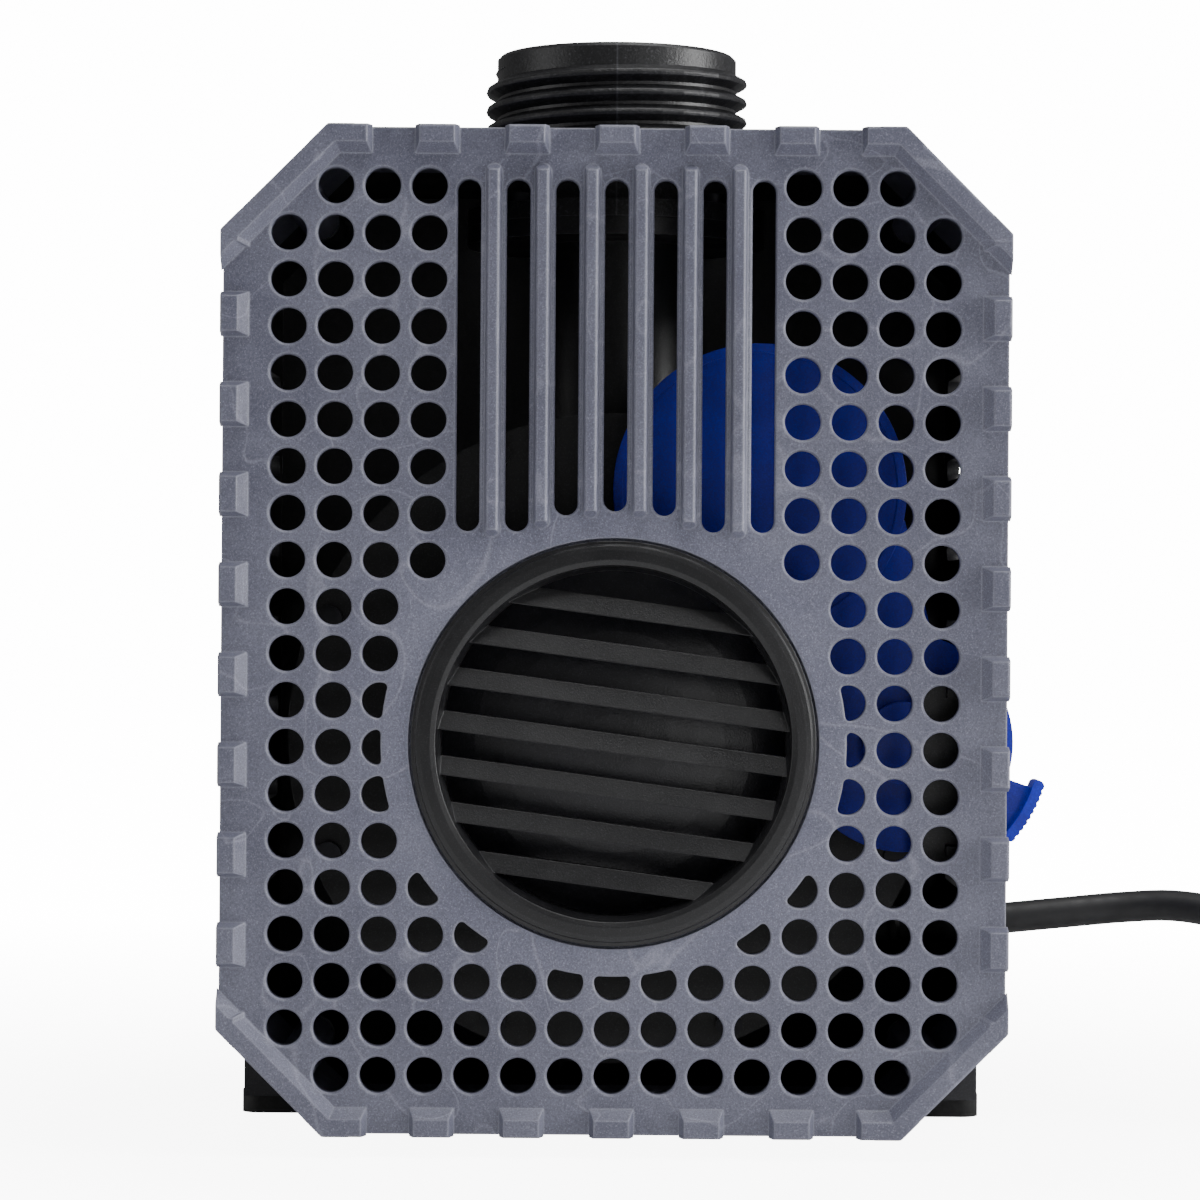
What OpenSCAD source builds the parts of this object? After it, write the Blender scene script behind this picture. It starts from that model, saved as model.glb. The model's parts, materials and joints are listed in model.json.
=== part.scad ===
// Submersible pump in a perforated two-part cage, with a louvred suction grille, a swinging
// suction gate, a wet-rotor motor and a threaded outlet.
// Millimetres. Z is up, the louvred front faces -Y, and the outlet's axis is X = Y = 0.

/* [Cage] */
// Width of the cage
cage_w = 168; // [166:0.5:170]
// Height of the cage
cage_h = 215; // [214:0.5:216]
// Depth of the front half, from its face to the parting plane
front_depth = 59; // [58.5:0.5:62]
// Depth of the rear half, from the parting plane to its back
rear_depth = 59; // [59:0.5:62]
// Leg length of the cut corners
cage_corner = 22.5; // [22:0.5:23]
// Wall thickness of both halves
wall = 3; // [2.8:0.1:3]
// Height of the rubber soles under the cage
sole_h = 5; // [4:0.5:6]

/* [Perforation] */
// Diameter of one hole
hole_d = 7.7; // [7:0.1:8]
// Spacing of the holes, both ways
hole_pitch = 10; // [9.9:0.05:10.05]
// Height of the lowest row above the cage's lower edge
hole_base = 12.5; // [12:0.1:13]
// Radius of the solid land around the suction grille
land_r = 49.8; // [49.4:0.1:50]
// Width of the lit rim around each hole
hole_rim = 0.4; // [0.2:0.05:0.5]

/* [Slots and ridges] */
// Width of one slot
slot_w = 5; // [4:0.1:5.5]
// Spacing of the slots
slot_pitch = 10.5; // [10.3:0.1:10.6]
// Height of the slots' upper ends above the cage's lower edge
slot_top = 204; // [200:0.5:205]
// How far the ridges between the slots stand out
ridge_h = 3; // [1:0.1:3.5]

/* [Suction grille] */
// Height of the grille's centre above the cage's lower edge
grille_up = 83.6; // [83:0.1:84.2]
// Radius of the recess in the cage that takes the grille's rim
recess_r = 43.9; // [43.7:0.1:44.2]
// Clear radius inside the grille's rim
grille_r = 37.8; // [37:0.1:38]
// Spacing of the louvre blades
blade_pitch = 9.6; // [9:0.1:10]
// Turn of the blades from level when the grille is locked
blade_turn = 7.5; // [0:0.5:15]

/* [Suction gate] */
// Distance from the gate's pivot to the grille's centre, sideways
gate_arm = 63.3; // [63:0.1:63.5]
// Radius of the gate's disc
gate_r = 32; // [31:0.1:32.2]
// Radius of the gate's hub
hub_r = 23.9; // [23:0.1:24.2]
// Turn from open to closed
gate_swing = 60; // [58:0.5:60]

/* [Outlet] */
// Outside diameter of the thread
thread_d = 59.8; // [59:0.1:60]
// Diameter of the plain land above the thread
land_d = 54.7; // [54:0.1:55.2]
// Rise of one turn of the thread
thread_pitch = 4.4; // [4.2:0.1:4.6]
// Diameter of the outlet's bore
outlet_bore = 44; // [42:0.5:46]
// Height of the outlet's rim above the floor
outlet_top = 243.4; // [241:0.1:244]

/* [Cord] */
// Diameter of the power cord
cord_d = 7.4; // [7.2:0.1:7.6]

/* [Hidden] */
$fn = 64;

face_y = -front_depth;             // front of the front half
back_y = rear_depth;               // back of the rear half
half_w = cage_w / 2;
half_h = cage_h / 2;
cage_mid = sole_h + half_h;        // height of the cage's middle
grille_z = sole_h + grille_up;
gap = 0.3;                         // clearance between pieces that move past each other
fit = 0.05;                        // clearance between pieces that are fixed in each other

grille_swing = 30;                 // turn that frees the grille

hole_cols = 7;                     // columns of holes each side of the middle one
hole_rows = 20;
hole_r = hole_d / 2;
slot_rows = 11;                    // rows of holes from here up leave room for the slots
slot_side = 4;                     // and start at this column

rib_w = 7.5;                       // ribs around the cage, which end in blocks at its face
rib_proud = 0.4;
block_h = 3;
block_face = 3.4;
block_slope = 2.2;
block_flank = 1;
rib_pitch_x = 19.2;
rib_pitch_z = 19.24;
strip_x = 53.3;                    // where a corner strip ends along the top and the bottom
strip_z = 82.7;                    // and along the sides, from the cage's middle

vent_w = 5;                        // slots through the side walls

screw_x = 68;                      // the four long screws that join the halves
screw_low = 14;
screw_r = 2;
post_r = 4.5;

gate_z = grille_z;
gate_y = face_y + 17;              // front of the gate's disc
gate_t = 2.5;
gate_boss = 3;                     // how far the hub's boss stands out
gate_boss_r = 9;
gate_rest = 120;                   // angle of the open gate's arm, up from +X
lever_in = 29.3;                   // the finger lever is an arc about the pivot
lever_out = 31.8;
lever_low = -41;
lever_high = -17.5;
lever_w = 9;
pin_r = 3;
pin_play = 0.05;
washer_t = 0.5;

cover_y = -30;                     // volute cover's front
cover_t = 4;
volute_r = 72;
body_r = 64;
chamber_r = 60;
chamber_back = 4;
body_back = 8;
eye_r = 21;
pipe_r = 17.5;
pipe_bore = 14.5;
pipe_low = 150;
pipe_top = 204;
flange_r = 34;
flange_t = 4;

shaft_r = 3;
shaft_play = 0.05;
impeller_r = 40;
can_r = 21;
can_bore = 20;
magnet_r = 18.5;
motor_r = 46;
motor_wall = 3;
motor_back = 44;
motor_flange = 60;
stator_r = 42.6;

thread_top_z = 237.5;              // crest of the last full turn, at +X
thread_start = -1300;              // the thread runs between these angles about the outlet
thread_end = 200;
thread_steps = 150;
thread_fade = 110;                 // and runs out over this angle at each end

cord_tip = [78, 20, 43.8];          // where the cord leaves its strain relief
cord_rise = 5.8;
relief_l = 26;
cord_r = cord_d / 2;
tie_t = 0.8;
coil_at = [234, 50];
coil_mid_r = 65.7;
coil_side = 5 * cord_d;
coil_top = tie_t + coil_side;
coil_turn_r = coil_mid_r + 2 * cord_d;
plug_r = 19;
plug_y = coil_at[1] + 65;
plug_z = coil_top + plug_r;
plug_x = 261;                      // cord's end of the plug's boot

// From the strain relief to the coil's lowest outer turn
cord_route = [
    [78, 20, 43.8], [93, 20, 45.3], [108, 20, 46.8], [120, 19.3, 48], [131, 16, 48.7], [141, 10.2, 47.5],
    [153, 3, 43.6], [164, -6, 37], [174, -15.5, 29], [184, -23, 20.5], [194, -28.5, 13], [205, -32, 7.8],
    [218, -33, 5], [233, -31.5, 4.5], [248, -29.3, 4.5]
];
// From the coil's top turn, round to the plug on top of it
tail_route = [
    [286.8, 25.4, 34.1], [290.6, 37.6, 35.6], [292.4, 50, 38.4], [292.9, 61, 41.3], [293, 72, 44], [293, 83, 46.6],
    [288.7, 99, 50], [277, 110.7, 53.6], [269, 114, 56.4], [261, 115, 56.8]
];

// ---------- helpers ----------

// A profile drawn as seen from the front (X, Z), filling from y0 to y1
module slab(y0, y1) {
    translate([0, y1, 0]) rotate([90, 0, 0]) linear_extrude(y1 - y0) children();
}

// A round bar along Y
module bar(x, z, y0, y1, r) {
    translate([x, y1, z]) rotate([90, 0, 0]) cylinder(r = r, h = y1 - y0);
}

// A profile of radius and Y, turned about an axis along Y
module turned(x, z) {
    translate([x, 0, z]) rotate([-90, 0, 0]) rotate_extrude() children();
}

// A plain ring along Y
module band(x, z, y0, y1, inner, outer) {
    turned(x, z) translate([inner, y0]) square([outer - inner, y1 - y0]);
}

// Children keep their shape and are copied into the four corners of the cage
module four_corners() {
    for (mx = [0, 1], mz = [0, 1])
        translate([0, 0, cage_mid]) mirror([mx, 0, 0]) mirror([0, 0, mz]) translate([0, 0, -cage_mid]) children();
}

// Children are drawn with X along the edge and Z outwards, and put on an edge of the cage
module on_edge(angle, distance, along = 0) {
    translate([0, 0, cage_mid]) rotate([0, angle, 0]) translate([along, 0, distance]) children();
}

// Every rib's place around the cage
module at_ribs() {
    for (side = [0, 180], k = [-2:2])
        on_edge(side, half_h, k * rib_pitch_x) children();
    for (side = [90, -90], k = [-3.5:3.5])
        on_edge(side, half_w, k * rib_pitch_z) children();
}

// ---------- cage ----------

module cage_outline(inset = 0) {
    w = half_w - inset;
    h = half_h - inset;
    c = cage_corner - inset * (2 - sqrt(2));
    translate([0, cage_mid])
        polygon([[c - w, h], [w - c, h], [w, h - c], [w, c - h], [w - c, -h], [c - w, -h], [-w, c - h], [-w, h - c]]);
}

// The rear half keeps its lower corners, which become the feet
module foot_outline(inset = 0) {
    w = half_w - inset;
    h = half_h - inset;
    c = cage_corner - inset * (2 - sqrt(2));
    translate([0, cage_mid])
        polygon([[c - w, h], [w - c, h], [w, h - c], [w, -h], [-w, -h], [-w, h - c]]);
}

function hole_z(row) = sole_h + hole_base + row * hole_pitch;
function hole_off(col, row) = norm([col * hole_pitch, hole_z(row) - grille_z]);
function has_hole(col, row) =
    let (side = abs(col), corner = side == hole_cols && (row == 0 || row == hole_rows - 1))
    corner ? false
    : row >= slot_rows ? side >= slot_side
    : row == slot_rows - 1 ? side > slot_side
    : hole_off(col, row) > land_r - hole_r + 0.8;

// A hole through the face with a sloping rim
module rim_tool(x, z, r) {
    turned(x, z)
        polygon([[0, face_y - 1], [r + hole_rim + 1, face_y - 1], [r, face_y + hole_rim],
                 [r, face_y + wall + 1], [0, face_y + wall + 1]]);
}

// What the land leaves of a hole beside it, with rounded corners
module cut_hole(col, row, grow = 0) {
    corner = 1;
    offset(r = corner + grow, $fn = 24) offset(delta = -corner)
        difference() {
            translate([col * hole_pitch, hole_z(row)]) circle(r = hole_r, $fn = 40);
            translate([0, grille_z]) circle(r = land_r, $fn = 160);
        }
}

module holes() {
    nearly_whole = 0.5;
    for (col = [-hole_cols:hole_cols], row = [0:hole_rows - 1])
        if (has_hole(col, row))
            if (hole_off(col, row) < land_r + hole_r - nearly_whole) {
                slab(face_y - 1, face_y + wall + 1) cut_hole(col, row);
                slab(face_y - 1, face_y + hole_rim / 2) cut_hole(col, row, hole_rim / 2);
            }
            else
                rim_tool(col * hole_pitch, hole_z(row), hole_r);
}

function slot_low(k) = abs(k) >= 2 ? 128.8 : abs(k) == 1 ? 132.3 : 133.2;
function ridge_low(k) = abs(k) < 1 ? 131.8 : abs(k) < 2 ? 129.5 : 127.6;

module slots() {
    half = slot_w / 2;
    for (k = [-3:3]) {
        x = k * slot_pitch;
        z0 = sole_h + slot_low(k) + half;
        z1 = sole_h + slot_top - half;
        for (z = [z0, z1])
            rim_tool(x, z, half);
        translate([x, 0, z0])
            linear_extrude(z1 - z0)
                polygon([[-half - hole_rim - 1, face_y - 1], [half + hole_rim + 1, face_y - 1], [half, face_y + hole_rim],
                         [half, face_y + wall + 1], [-half, face_y + wall + 1], [-half, face_y + hole_rim]]);
    }
}

// Bars between the slots, with sloping flanks and ends
module ridges() {
    foot = 1.75;
    crest = 1.1;
    for (k = [-2.5:2.5]) {
        z0 = sole_h + ridge_low(k);
        z1 = sole_h + slot_top + 3.3;
        intersection() {
            translate([k * slot_pitch, 0, z0])
                linear_extrude(z1 - z0)
                    polygon([[-foot, face_y + 0.5], [-foot, face_y], [-crest - 0.2, face_y - ridge_h + 0.4],
                             [-crest + 0.2, face_y - ridge_h], [crest - 0.2, face_y - ridge_h],
                             [crest + 0.2, face_y - ridge_h + 0.4], [foot, face_y], [foot, face_y + 0.5]]);
            translate([k * slot_pitch - 5, 0, 0])
                rotate([90, 0, 90])
                    linear_extrude(10)
                        polygon([[face_y + 0.5, z0], [face_y, z0], [face_y - ridge_h, z0 + 1.5],
                                 [face_y - ridge_h, z1 - 1.5], [face_y, z1], [face_y + 0.5, z1]]);
            // rounded ends
            slab(face_y - ridge_h - 1, face_y + 1)
                translate([k * slot_pitch, 0]) {
                    for (z = [z0 + foot, z1 - foot])
                        translate([0, z]) circle(r = foot);
                    translate([-foot, z0 + foot]) square([2 * foot, z1 - z0 - 2 * foot]);
                }
        }
    }
}

// A raised block at the end of a rib, or a length of the corner strip
module edge_block(length) {
    half = length / 2;
    intersection() {
        translate([-half - block_flank, 0, 0])
            rotate([90, 0, 90])
                linear_extrude(length + 2 * block_flank)
                    polygon([[face_y + 1, rib_proud], [face_y - block_h + 0.4, rib_proud],
                             [face_y - block_h, rib_proud - 0.4], [face_y - block_h, -block_face],
                             [face_y, -block_face - block_slope], [face_y + 1, -block_face - block_slope]]);
        translate([0, 0, -block_face - block_slope - 1])
            linear_extrude(block_face + block_slope + 2)
                polygon([[-half - block_flank, face_y + 1], [-half - block_flank, face_y],
                         [-half, face_y - block_h], [half, face_y - block_h],
                         [half + block_flank, face_y], [half + block_flank, face_y + 1]]);
    }
}

module corner_strips() {
    top_l = half_w - strip_x;
    side_l = half_h - strip_z;
    cut_d = (half_w + half_h - cage_corner) / sqrt(2);
    intersection() {
        slab(face_y - block_h, face_y + 1) cage_outline(-rib_proud);
        four_corners() {
            on_edge(0, half_h, strip_x + top_l / 2) edge_block(top_l);
            on_edge(90, half_w, -strip_z - side_l / 2) edge_block(side_l);
            on_edge(45, cut_d, (half_w - half_h) / sqrt(2)) edge_block(cage_corner * sqrt(2) + 12);
        }
    }
}

module rib_bars(y0, y1) {
    at_ribs() translate([-rib_w / 2, y0, -1]) cube([rib_w, y1 - y0, 1 + rib_proud]);
}

// A slot through a wall, drawn with Y along it
module vent(y0, y1) {
    translate([0, 0, -wall - 1])
        linear_extrude(wall + 3) {
            translate([-vent_w / 2, y0 + vent_w / 2]) square([vent_w, y1 - y0 - vent_w]);
            for (y = [y0 + vent_w / 2, y1 - vent_w / 2])
                translate([0, y]) circle(d = vent_w);
        }
}

module cage_posts(y0, y1) {
    four_corners() bar(screw_x, sole_h + screw_low, y0, y1, post_r);
}

module front_cage() {
    boss_back = face_y + 6;
    lug_turn = blade_turn - grille_swing;
    color([0.40, 0.41, 0.46])
    difference() {
        union() {
            slab(face_y, face_y + wall) cage_outline();
            slab(face_y + wall, 0) difference() {
                cage_outline();
                cage_outline(wall);
            }
            rib_bars(face_y, 0);
            at_ribs() edge_block(rib_w);
            corner_strips();
            ridges();
            bar(0, grille_z, face_y + wall, boss_back, 47.5);
            cage_posts(face_y + wall, 0);
        }
        holes();
        slots();
        // recess and port for the suction grille, with the slots that let its lugs in
        bar(0, grille_z, face_y - 1, face_y + 2.2, recess_r);
        bar(0, grille_z, face_y, boss_back + 1, 40);
        for (turn = [0, 120, 240])
            translate([0, 0, grille_z]) rotate([0, lug_turn + turn, 0]) translate([-7, face_y, 30])
                cube([14, 10, 12.9]);
        // notch around the outlet
        translate([0, 0, cage_mid + half_h - 10]) cylinder(r = 31, h = 20);
        // slot that the gate's hub and lever pass through
        translate([half_w - 8, gate_y - 1.5, gate_z - 25]) cube([16, gate_t + 3, 50]);
        for (k = [-1.5, -0.5, 0.5, 1.5]) {
            on_edge(0, half_h, k * rib_pitch_x) vent(face_y + 8, -36);
            on_edge(180, half_h, k * rib_pitch_x) vent(face_y + 9, -9);
        }
        for (k = [-3:3])
            on_edge(-90, half_w, k * rib_pitch_z) vent(face_y + 9, -9);
        // the other places on this side are taken by the gate's slot
        for (k = [-3, -2, -1, 3])
            on_edge(90, half_w, k * rib_pitch_z) vent(face_y + 9, -9);
        four_corners() bar(screw_x, sole_h + screw_low, face_y + wall + 12, 1, screw_r + fit);
    }
}

module rear_cage() {
    pocket_y = back_y - 9;
    color([0.05, 0.05, 0.055])
    difference() {
        union() {
            slab(back_y - wall, back_y) foot_outline();
            slab(0, back_y - wall) difference() {
                foot_outline();
                foot_outline(wall);
            }
            // the corners that the front half leaves open
            slab(0, wall) difference() {
                foot_outline();
                cage_outline(wall);
                translate([-half_w, cage_mid]) square([cage_w, cage_h]);
            }
            rib_bars(0, back_y);
            cage_posts(wall, back_y);
            // raised bands across the back
            for (z = [40:24:184])
                translate([-60, back_y - 0.5, z]) cube([120, 1.7, 4]);
        }
        translate([0, 0, cage_mid + half_h - 10]) cylinder(r = 31, h = 20);
        for (k = [-1.5, -0.5, 0.5, 1.5]) {
            on_edge(0, half_h, k * rib_pitch_x) vent(36, back_y - 8);
            on_edge(180, half_h, k * rib_pitch_x) vent(9, back_y - 9);
        }
        for (side = [-90, 90], k = [-3:3])
            on_edge(side, half_w, k * rib_pitch_z) vent(9, back_y - 9);
        four_corners() {
            bar(screw_x, sole_h + screw_low, -1, back_y, screw_r + 0.3);
            bar(screw_x, sole_h + screw_low, pocket_y, back_y + 1, 4.2);
        }
        // hole that the cord passes through
        translate([half_w - 8, cord_tip[1], cord_tip[2] + 0.8]) rotate([0, 90, 0]) cylinder(r = 5.5, h = 16);
    }
}

module cage_screws() {
    head_y = back_y - 9;
    color([0.70, 0.70, 0.72])
    four_corners() {
        bar(screw_x, sole_h + screw_low, face_y + wall + 16, head_y, screw_r);
        difference() {
            bar(screw_x, sole_h + screw_low, head_y, head_y + 3, 3.9);
            slab(head_y + 1, head_y + 4) for (a = [0, 90])
                translate([screw_x, sole_h + screw_low]) rotate(a) square([1, 4.6], center = true);
        }
    }
}

module sole(y0, y1) {
    round_r = 4;
    lip = 1.4;
    linear_extrude(sole_h) {
        translate([round_r - half_w - lip, y0]) square([cage_w + 2 * (lip - round_r), y1 - y0]);
        translate([-half_w - lip, y0 + round_r]) square([cage_w + 2 * lip, y1 - y0 - 2 * round_r]);
        for (x = [round_r - half_w - lip, half_w + lip - round_r], y = [y0 + round_r, y1 - round_r])
            translate([x, y]) circle(r = round_r);
    }
}

module front_sole() {
    pad_w = 120;
    color([0.04, 0.04, 0.04])
    difference() {
        union() {
            sole(8, 26);
            // the middle reaches forward under the outlet's axis
            translate([-pad_w / 2, -6, 0]) cube([pad_w, 16, sole_h]);
        }
        // room for the ribs under the cage
        rib_bars(-7, 27);
    }
}

module rear_sole() {
    color([0.04, 0.04, 0.04])
    difference() {
        sole(back_y - 16, back_y);
        rib_bars(back_y - 17, back_y + 1);
    }
}

// ---------- suction grille ----------

module grille_ring() {
    turned(0, grille_z)
        polygon([[grille_r, face_y + 0.4], [grille_r + 0.3, face_y - 0.9], [grille_r + 1.4, face_y - 1.4],
                 [grille_r + 3.4, face_y - 1.3], [grille_r + 4.5, face_y - 0.9], [grille_r + 4.7, face_y - 0.3],
                 [grille_r + 5.5, face_y - 0.1], [grille_r + 5.5, face_y + 1.9], [39.7, face_y + 1.9],
                 [39.7, face_y + 9], [37, face_y + 9], [37, face_y + 2.4]]);
}

module louvre_blades() {
    half = 2.05;
    intersection() {
        for (k = [-3:3])
            translate([-40, 0, grille_z + k * blade_pitch])
                rotate([90, 0, 90])
                    linear_extrude(80)
                        polygon([[face_y + 0.8, -half], [face_y + 2.6, half], [face_y + 5.8, half], [face_y + 4, -half]]);
        bar(0, grille_z, face_y, face_y + 9, 38.2);
    }
}

module suction_grille() {
    color([0.06, 0.06, 0.065])
    translate([0, 0, grille_z]) rotate([0, blade_turn, 0]) translate([0, 0, -grille_z]) {
        difference() {
            union() {
                grille_ring();
                for (turn = [0, 120, 240])
                    translate([0, 0, grille_z]) rotate([0, turn, 0]) translate([-6, face_y + 6.3, 38])
                        cube([12, 2.2, 4.2]);
            }
            // groove for the seal
            band(0, grille_z, face_y + 2.6, face_y + 4.2, 38.9, 41);
        }
        louvre_blades();
        // posts that carry the baffle
        for (x = [-24, 24], k = [-1, 1])
            bar(x, grille_z + k * blade_pitch, face_y + 4, face_y + 11, 1.8);
    }
}

module baffle_disc() {
    back = face_y + 15;
    color([0.06, 0.06, 0.065])
    turned(0, grille_z)
        polygon([[0, face_y + 7], [6, face_y + 7.15], [12, face_y + 7.6], [18, face_y + 8.4], [24, face_y + 9.6],
                 [30, face_y + 11.3], [34, face_y + 12.8], [38, face_y + 14.1], [38.2, face_y + 14.4], [38.2, back], [0, back]]);
}

module grille_seal() {
    color([0.02, 0.02, 0.02])
    band(0, grille_z, face_y + 2.65, face_y + 4.15, 38.95, 39.9);
}

// ---------- suction gate ----------

module gate_outline() {
    circle(r = hub_r);
    rotate(gate_rest) {
        translate([gate_arm, 0]) circle(r = gate_r);
        polygon([[16, 16.6], [42, 24.2], [42, -24.2], [16, -16.6]]);
    }
}

// A sector of a ring about the pivot
module lever_arc(inner, outer, low, high) {
    intersection() {
        difference() {
            circle(r = outer);
            circle(r = inner);
        }
        polygon([[0, 0], [60 * cos(low), 60 * sin(low)], [60 * cos(high), 60 * sin(high)]]);
    }
}

module gate_selector() {
    lever_mid = gate_y + gate_t / 2;
    grip_n = 9;
    color([0.05, 0.16, 0.75])
    translate([gate_arm, 0, gate_z])
        difference() {
            union() {
                slab(gate_y, gate_y + gate_t) {
                    gate_outline();
                    lever_arc(hub_r - 4, lever_in + 1, lever_low + 1, lever_high - 1.5);
                }
                slab(gate_y - gate_boss, gate_y) circle(r = gate_boss_r);
                slab(lever_mid - lever_w / 2, lever_mid + lever_w / 2)
                    difference() {
                        union() {
                            lever_arc(lever_in, lever_out, lever_low, lever_high);
                            for (a = [lever_low, lever_high])
                                rotate(a) translate([(lever_in + lever_out) / 2, 0])
                                    circle(d = lever_out - lever_in);
                        }
                        for (k = [0:grip_n - 1])
                            rotate(lever_low + (k + 0.5) * (lever_high - lever_low) / grip_n)
                                translate([lever_out + 0.25, 0]) circle(r = 0.5);
                    }
                // raised bead around the disc
                rotate([0, -gate_rest, 0]) translate([gate_arm, 0, 0])
                    band(0, 0, gate_y - 0.6, gate_y, gate_r - 2, gate_r);
            }
            bar(0, 0, gate_y - gate_boss + 1.3, gate_y + gate_t + 1, pin_r + pin_play);
        }
}

module gate_pin() {
    color([0.72, 0.72, 0.74])
    bar(gate_arm, gate_z, gate_y - gate_boss + 1.6, cover_y + 2, pin_r);
}

module gate_washer() {
    color([0.80, 0.80, 0.78])
    band(gate_arm, gate_z, gate_y + gate_t + gap, gate_y + gate_t + gap + washer_t, pin_r + fit, 6.5);
}

// A guard on the cage's wall that keeps the gate's hub on its pin
module gate_keeper() {
    y1 = gate_y - gate_boss - 0.5;
    x0 = 65.5;
    x1 = half_w - wall;
    color([0.06, 0.06, 0.065])
    translate([0, 0, gate_z]) {
        slab(y1 - 2, y1) difference() {
            translate([x0, -26]) square([x1 - x0, 40]);
            translate([x0 - 7, 8]) rotate(38) square([12, 14]);
        }
        translate([x1 - 2, y1 - 7, -26]) cube([2, 7, 40]);
        for (z = [-24, 10])
            slab(y1 - 5, y1 - 1) translate([x1 - 9, z]) square([8, 2]);
    }
}

// ---------- volute ----------

module intake_collar() {
    lip_y = gate_y + gate_t + gap;
    color([0.08, 0.08, 0.085])
    difference() {
        union() {
            band(0, grille_z, lip_y, cover_y, 29.5, 33.5);
            band(0, grille_z, cover_y - 2, cover_y, 29.5, 42);
        }
        // windows that let cage water in when the gate is closed
        for (turn = [22.5:45:359])
            translate([0, 0, grille_z]) rotate([0, turn, 0]) translate([-8, lip_y + 2, 20])
                cube([16, 5, 18]);
        for (turn = [0, 90, 180, 270])
            translate([0, 0, grille_z]) rotate([0, turn, 0]) bar(0, 38, cover_y - 3, cover_y + 1, 1.6);
    }
}

module collar_screws() {
    color([0.70, 0.70, 0.72])
    for (turn = [0, 90, 180, 270])
        translate([0, 0, grille_z]) rotate([0, turn, 0]) {
            bar(0, 38, cover_y - 2, cover_y + 3, 1.5);
            bar(0, 38, cover_y - 4, cover_y - 2, 2.8);
        }
}

module volute_cover() {
    bolts = 8;
    color([0.07, 0.07, 0.075])
    difference() {
        union() {
            band(0, grille_z, cover_y, cover_y + cover_t, eye_r, volute_r);
            band(0, grille_z, cover_y - 1, cover_y + cover_t + 3, 5 + fit, 8);
            intersection() {
                slab(cover_y, cover_y + 3) translate([0, grille_z]) for (a = [90, 210, 330])
                    rotate(a) translate([6, -1.5]) square([eye_r - 3, 3]);
                bar(0, grille_z, cover_y, cover_y + 3, eye_r + 1);
            }
            bar(gate_arm, gate_z, gate_y + gate_t + gap + washer_t, cover_y + 1, 5);
        }
        bar(gate_arm, gate_z, gate_y, cover_y + 2 + fit, pin_r + fit);
        for (turn = [0, 90, 180, 270])
            translate([0, 0, grille_z]) rotate([0, turn, 0]) bar(0, 38, cover_y - 1, cover_y + 3.1, 1.5 + fit);
        for (k = [0:bolts - 1])
            translate([0, 0, grille_z]) rotate([0, (k + 0.5) * 360 / bolts, 0])
                bar(0, 68, cover_y - 1, cover_y + cover_t + 1, 1.8);
    }
}

module volute_gasket() {
    color([0.02, 0.02, 0.02])
    band(0, grille_z, cover_y + cover_t + fit, cover_y + cover_t + 1.5, 61, 63);
}

module volute_body() {
    front = cover_y + cover_t;
    bolts = 8;
    color([0.07, 0.07, 0.075])
    difference() {
        union() {
            bar(0, grille_z, front, body_back, body_r);
            bar(0, grille_z, front, front + 4, volute_r);
            translate([0, 0, pipe_low]) cylinder(r = pipe_r, h = pipe_top - pipe_low);
            translate([0, 0, pipe_top - flange_t]) cylinder(r = flange_r, h = flange_t);
        }
        bar(0, grille_z, front - 1, chamber_back, chamber_r);
        // the throat out of the chamber stays in front of the back wall
        translate([-pipe_bore, -pipe_bore, pipe_low - 10]) cube([2 * pipe_bore, pipe_bore + chamber_back, 14]);
        translate([0, 0, pipe_low + 1.5]) cylinder(r = pipe_bore, h = 80);
        bar(0, grille_z, 0, body_back + 1, can_r + 1);
        band(0, grille_z, front - 1, front + 1.5, 61 - fit, 63 + fit);
        // groove for the outlet's seal
        translate([0, 0, pipe_top - 2]) rotate_extrude() translate([18.5, 0]) square([2.6, 3]);
        for (k = [0:bolts - 1])
            translate([0, 0, grille_z]) rotate([0, (k + 0.5) * 360 / bolts, 0])
                bar(0, 68, front - 1, front + 5, 1.5 + fit);
        for (a = [45:90:359])
            rotate(a) translate([30.5, 0, pipe_top - flange_t - 1]) cylinder(r = 1.5 + fit, h = flange_t + 2);
        for (k = [0:5])
            translate([0, 0, grille_z]) rotate([0, k * 60, 0]) bar(0, 54, chamber_back, body_back + 1, 1.5 + fit);
    }
}

module volute_screws() {
    bolts = 8;
    color([0.70, 0.70, 0.72])
    for (k = [0:bolts - 1])
        translate([0, 0, grille_z]) rotate([0, (k + 0.5) * 360 / bolts, 0]) {
            bar(0, 68, cover_y, cover_y + cover_t + 4, 1.5);
            bar(0, 68, cover_y - 2.2, cover_y, 2.9);
        }
}

// ---------- outlet ----------

// The thread is one ridge that climbs to the right and runs out at both ends
function thread_z(a) = thread_top_z + thread_pitch * a / 360;
function thread_size(a) = max(0.12, min(1, (a - thread_start) / thread_fade, (thread_end - a) / thread_fade));
function thread_point(a, p) =
    let (s = thread_size(a), r = land_d / 2 + (p[0] < 0 ? p[0] : s * p[0]))
    [r * cos(a), r * sin(a), thread_z(a) + s * p[1]];

module outlet_thread() {
    high = (thread_d - land_d) / 2;
    profile = [[-0.8, -1.9], [0, -1.9], [high - 0.2, -0.6], [high, 0], [high - 0.2, 0.6], [0, 1.9], [-0.8, 1.9]];
    points = [for (i = [0:thread_steps], p = profile)
        thread_point(thread_start + (thread_end - thread_start) * i / thread_steps, p)];
    color([0.06, 0.06, 0.065]) polyhedron(points, tube_faces(thread_steps, len(profile)));
}

// Faces of a tube of rings with n points each, closed at both ends
function tube_faces(steps, n) = concat(
    [for (j = [1:n - 2]) [0, j, j + 1]],
    [for (i = [0:steps - 1], j = [0:n - 1])
        each let (a = i * n + j, b = i * n + (j + 1) % n) [[a, a + n, b + n], [a, b + n, b]]],
    [for (j = [1:n - 2]) [steps * n, steps * n + j + 1, steps * n + j]]);

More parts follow.
